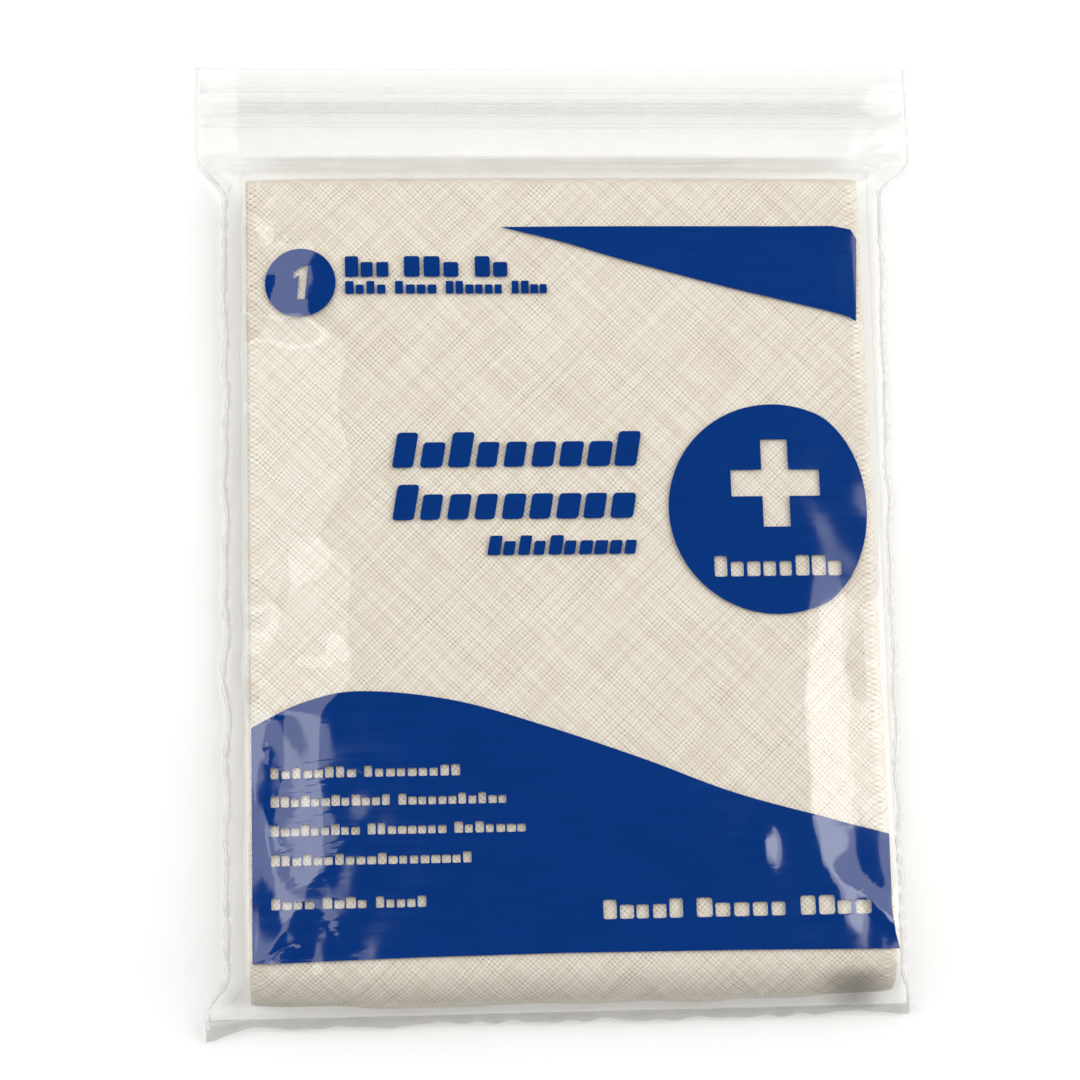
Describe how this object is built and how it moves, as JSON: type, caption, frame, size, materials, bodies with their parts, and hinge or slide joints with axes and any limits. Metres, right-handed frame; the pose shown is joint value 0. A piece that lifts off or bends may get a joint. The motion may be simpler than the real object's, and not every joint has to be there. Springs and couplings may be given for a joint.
{
  "type": "arm sling",
  "caption": "Triangular muslin arm sling, folded flat in a clear press-to-close bag with a blue-printed front film, and safety pins behind the cloth.",
  "frame": {"origin": "under the middle of the bag's outline, on the surface that the bag lies on", "axes": "+Z out of the printed front film, +Y towards the zip mouth, +X to the right as the print is read"},
  "size_m": [0.144, 0.186, 0.0141],
  "materials": {
    "clear_film": "clear, glossy polyethylene film, printed in one blue ink on the front",
    "welded_film": "clouded weld bead",
    "zip_profile": "translucent extruded profile",
    "muslin": "unbleached plain weave, matte",
    "pin_wire": "nickel-plated spring wire",
    "pin_clasp": "nickel-plated pressed sheet"
  },
  "bodies": {
    "bag": {"bag_back_film": "clear_film", "bag_front_film": "clear_film", "bottom_fold": "clear_film", "back_lip": "clear_film", "left_side_seal": "welded_film", "right_side_seal": "welded_film", "zip_rib": "zip_profile", "back_grip_rib_upper": "zip_profile", "back_grip_rib_lower": "zip_profile", "folded_bandage": "muslin", "safety_pin_1_wire": "pin_wire", "safety_pin_1_clasp": "pin_clasp", "safety_pin_2_wire": "pin_wire", "safety_pin_2_clasp": "pin_clasp"},
    "mouth_front": {"front_lip": "clear_film", "zip_channel": "zip_profile", "front_grip_rib_upper": "zip_profile", "front_grip_rib_lower": "zip_profile"},
    "pin_1_arm": {"safety_pin_1_arm": "pin_wire"},
    "pin_2_arm": {"safety_pin_2_arm": "pin_wire"}
  },
  "joints": [
    {"name": "mouth_open", "type": "hinge", "parent": "bag", "child": "mouth_front", "pos_m": [0, 0.06525, 0.01385], "axis": [1, 0, 0], "range_deg": [0, 40]},
    {"name": "pin_1_open", "type": "hinge", "parent": "bag", "child": "pin_1_arm", "pos_m": [-0.018, -0.032, 0.002], "axis": [0, 0, 1], "range_deg": [0, 25]},
    {"name": "pin_2_open", "type": "hinge", "parent": "bag", "child": "pin_2_arm", "pos_m": [-0.018, -0.006, 0.002], "axis": [0, 0, 1], "range_deg": [0, 25]}
  ]
}
